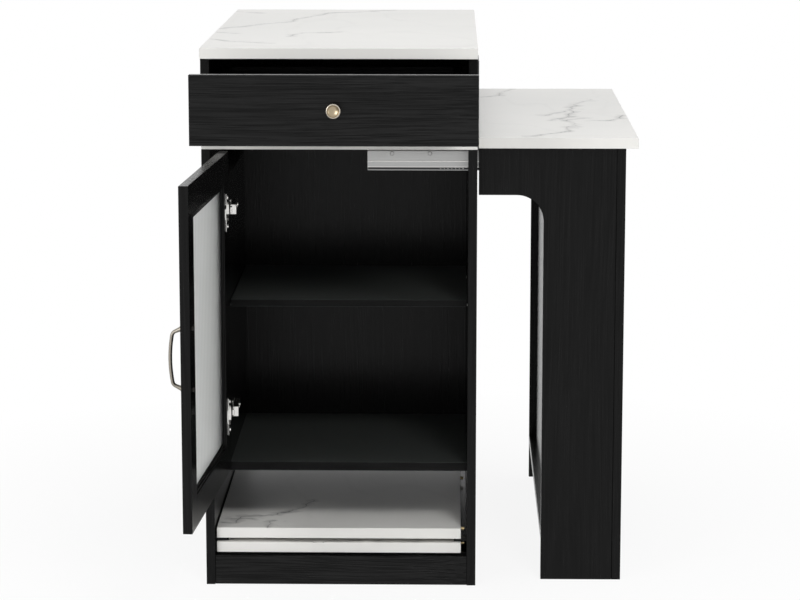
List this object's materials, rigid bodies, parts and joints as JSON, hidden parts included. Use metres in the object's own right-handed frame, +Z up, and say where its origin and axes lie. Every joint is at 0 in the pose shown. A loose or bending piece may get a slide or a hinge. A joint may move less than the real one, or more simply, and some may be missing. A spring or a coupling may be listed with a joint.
{
  "type": "kitchen island",
  "caption": "Black kitchen island with marble-look boards, a pull-out table at one side, stored leaves, drawers, fluted-glass doors and a side power outlet.",
  "frame": {"origin": "underside of the front toe kick at its centre, on the floor", "axes": "+Z up, +Y from the cabinet's front to its back, +X towards the extending table"},
  "size_m": [0.7435, 1.2504, 0.914],
  "materials": {
    "black_laminate": "black laminate with pressed wood grain, satin",
    "marble_board": "white laminate with soft grey veins, satin",
    "zinc_steel": "zinc-plated pressed steel",
    "champagne_gold": "brushed champagne gold",
    "bright_nickel": "bright nickel",
    "pale_brass": "pale brass",
    "fluted_glass": "clear glass with upright flutes",
    "black_plastic": "black moulded plastic, satin"
  },
  "bodies": {
    "cabinet": {"island_top": "marble_board", "mid_deck": "marble_board", "left_side_panel": "black_laminate", "right_side_panel": "black_laminate", "centre_divider": "black_laminate", "base_shelf": "black_laminate", "niche_floor": "black_laminate", "toe_kicks": "black_laminate", "adjustable_shelves": "black_laminate", "shelf_pins": "zinc_steel", "drawer_case_sides": "black_laminate", "drawer_case_floor": "black_laminate", "drawer_case_divider": "black_laminate", "drawer_slide_outers": "zinc_steel", "hinge_plates": "bright_nickel", "hinge_arms": "bright_nickel", "table_slide_outers": "zinc_steel", "table_slide_hangers": "black_laminate", "leaf_runners": "black_laminate", "outlet_plate": "black_plastic", "outlet_sockets": "black_plastic"},
    "front_drawer": {"front_drawer_face": "black_laminate", "front_drawer_sides": "black_laminate", "front_drawer_bottom": "black_laminate", "front_drawer_back": "black_laminate", "front_drawer_knob": "champagne_gold", "front_drawer_slide_inners": "zinc_steel"},
    "front_drawer_middles": {"front_drawer_slide_middles": "zinc_steel"},
    "front_door": {"front_door_frame": "black_laminate", "front_door_glass": "fluted_glass", "front_door_beads": "black_laminate", "front_door_handle": "champagne_gold", "front_door_handle_screws": "zinc_steel", "front_hinge_cups": "bright_nickel"},
    "rear_drawer": {"rear_drawer_face": "black_laminate", "rear_drawer_sides": "black_laminate", "rear_drawer_bottom": "black_laminate", "rear_drawer_back": "black_laminate", "rear_drawer_knob": "champagne_gold", "rear_drawer_slide_inners": "zinc_steel"},
    "rear_drawer_middles": {"rear_drawer_slide_middles": "zinc_steel"},
    "rear_door": {"rear_door_frame": "black_laminate", "rear_door_glass": "fluted_glass", "rear_door_beads": "black_laminate", "rear_door_handle": "champagne_gold", "rear_door_handle_screws": "zinc_steel", "rear_hinge_cups": "bright_nickel"},
    "table": {"table_top": "marble_board", "front_arch_panel": "black_laminate", "rear_arch_panel": "black_laminate", "table_end_panel": "black_laminate", "table_inner_panel": "black_laminate", "table_base_board": "black_laminate", "table_slide_inners": "zinc_steel"},
    "table_first_middles": {"table_slide_first_middles": "zinc_steel"},
    "table_second_middles": {"table_slide_second_middles": "zinc_steel"},
    "upper_leaf": {"upper_leaf": "marble_board", "upper_leaf_pins": "pale_brass"},
    "lower_leaf": {"lower_leaf": "marble_board", "lower_leaf_pins": "pale_brass"}
  },
  "joints": [
    {"name": "front_drawer_slide", "type": "slide", "parent": "cabinet", "child": "front_drawer", "axis": [0, -1, 0], "range_m": [-0.192, 0.108]},
    {"name": "front_middles_slide", "type": "slide", "parent": "cabinet", "child": "front_drawer_middles", "axis": [0, -1, 0], "range_m": [-0.096, 0.054]},
    {"name": "rear_drawer_slide", "type": "slide", "parent": "cabinet", "child": "rear_drawer", "axis": [0, 1, 0], "range_m": [0, 0.3]},
    {"name": "rear_middles_slide", "type": "slide", "parent": "cabinet", "child": "rear_drawer_middles", "axis": [0, 1, 0], "range_m": [0, 0.15]},
    {"name": "front_door_hinge", "type": "hinge", "parent": "cabinet", "child": "front_door", "pos_m": [-0.2003, -0.0105, 0.47], "axis": [0, 0, -1], "range_deg": [-93.7, 11.3]},
    {"name": "rear_door_hinge", "type": "hinge", "parent": "cabinet", "child": "rear_door", "pos_m": [0.2003, 0.7895, 0.47], "axis": [0, 0, -1], "range_deg": [0, 105]},
    {"name": "table_slide", "type": "slide", "parent": "cabinet", "child": "table", "axis": [1, 0, 0], "range_m": [0, 0.83]},
    {"name": "table_first_slide", "type": "slide", "parent": "cabinet", "child": "table_first_middles", "axis": [1, 0, 0], "range_m": [0, 0.2767]},
    {"name": "table_second_slide", "type": "slide", "parent": "cabinet", "child": "table_second_middles", "axis": [1, 0, 0], "range_m": [0, 0.5534]},
    {"name": "upper_leaf_slide", "type": "slide", "parent": "cabinet", "child": "upper_leaf", "axis": [0, -1, 0], "range_m": [0, 0.85]},
    {"name": "lower_leaf_slide", "type": "slide", "parent": "cabinet", "child": "lower_leaf", "axis": [0, -1, 0], "range_m": [0, 0.85]}
  ],
  "couplings": [
    {"joint": "front_middles_slide", "follows": "front_drawer_slide", "ratio": 0.5},
    {"joint": "rear_middles_slide", "follows": "rear_drawer_slide", "ratio": 0.5},
    {"joint": "table_first_slide", "follows": "table_slide", "ratio": 0.33333},
    {"joint": "table_second_slide", "follows": "table_slide", "ratio": 0.66667}
  ]
}
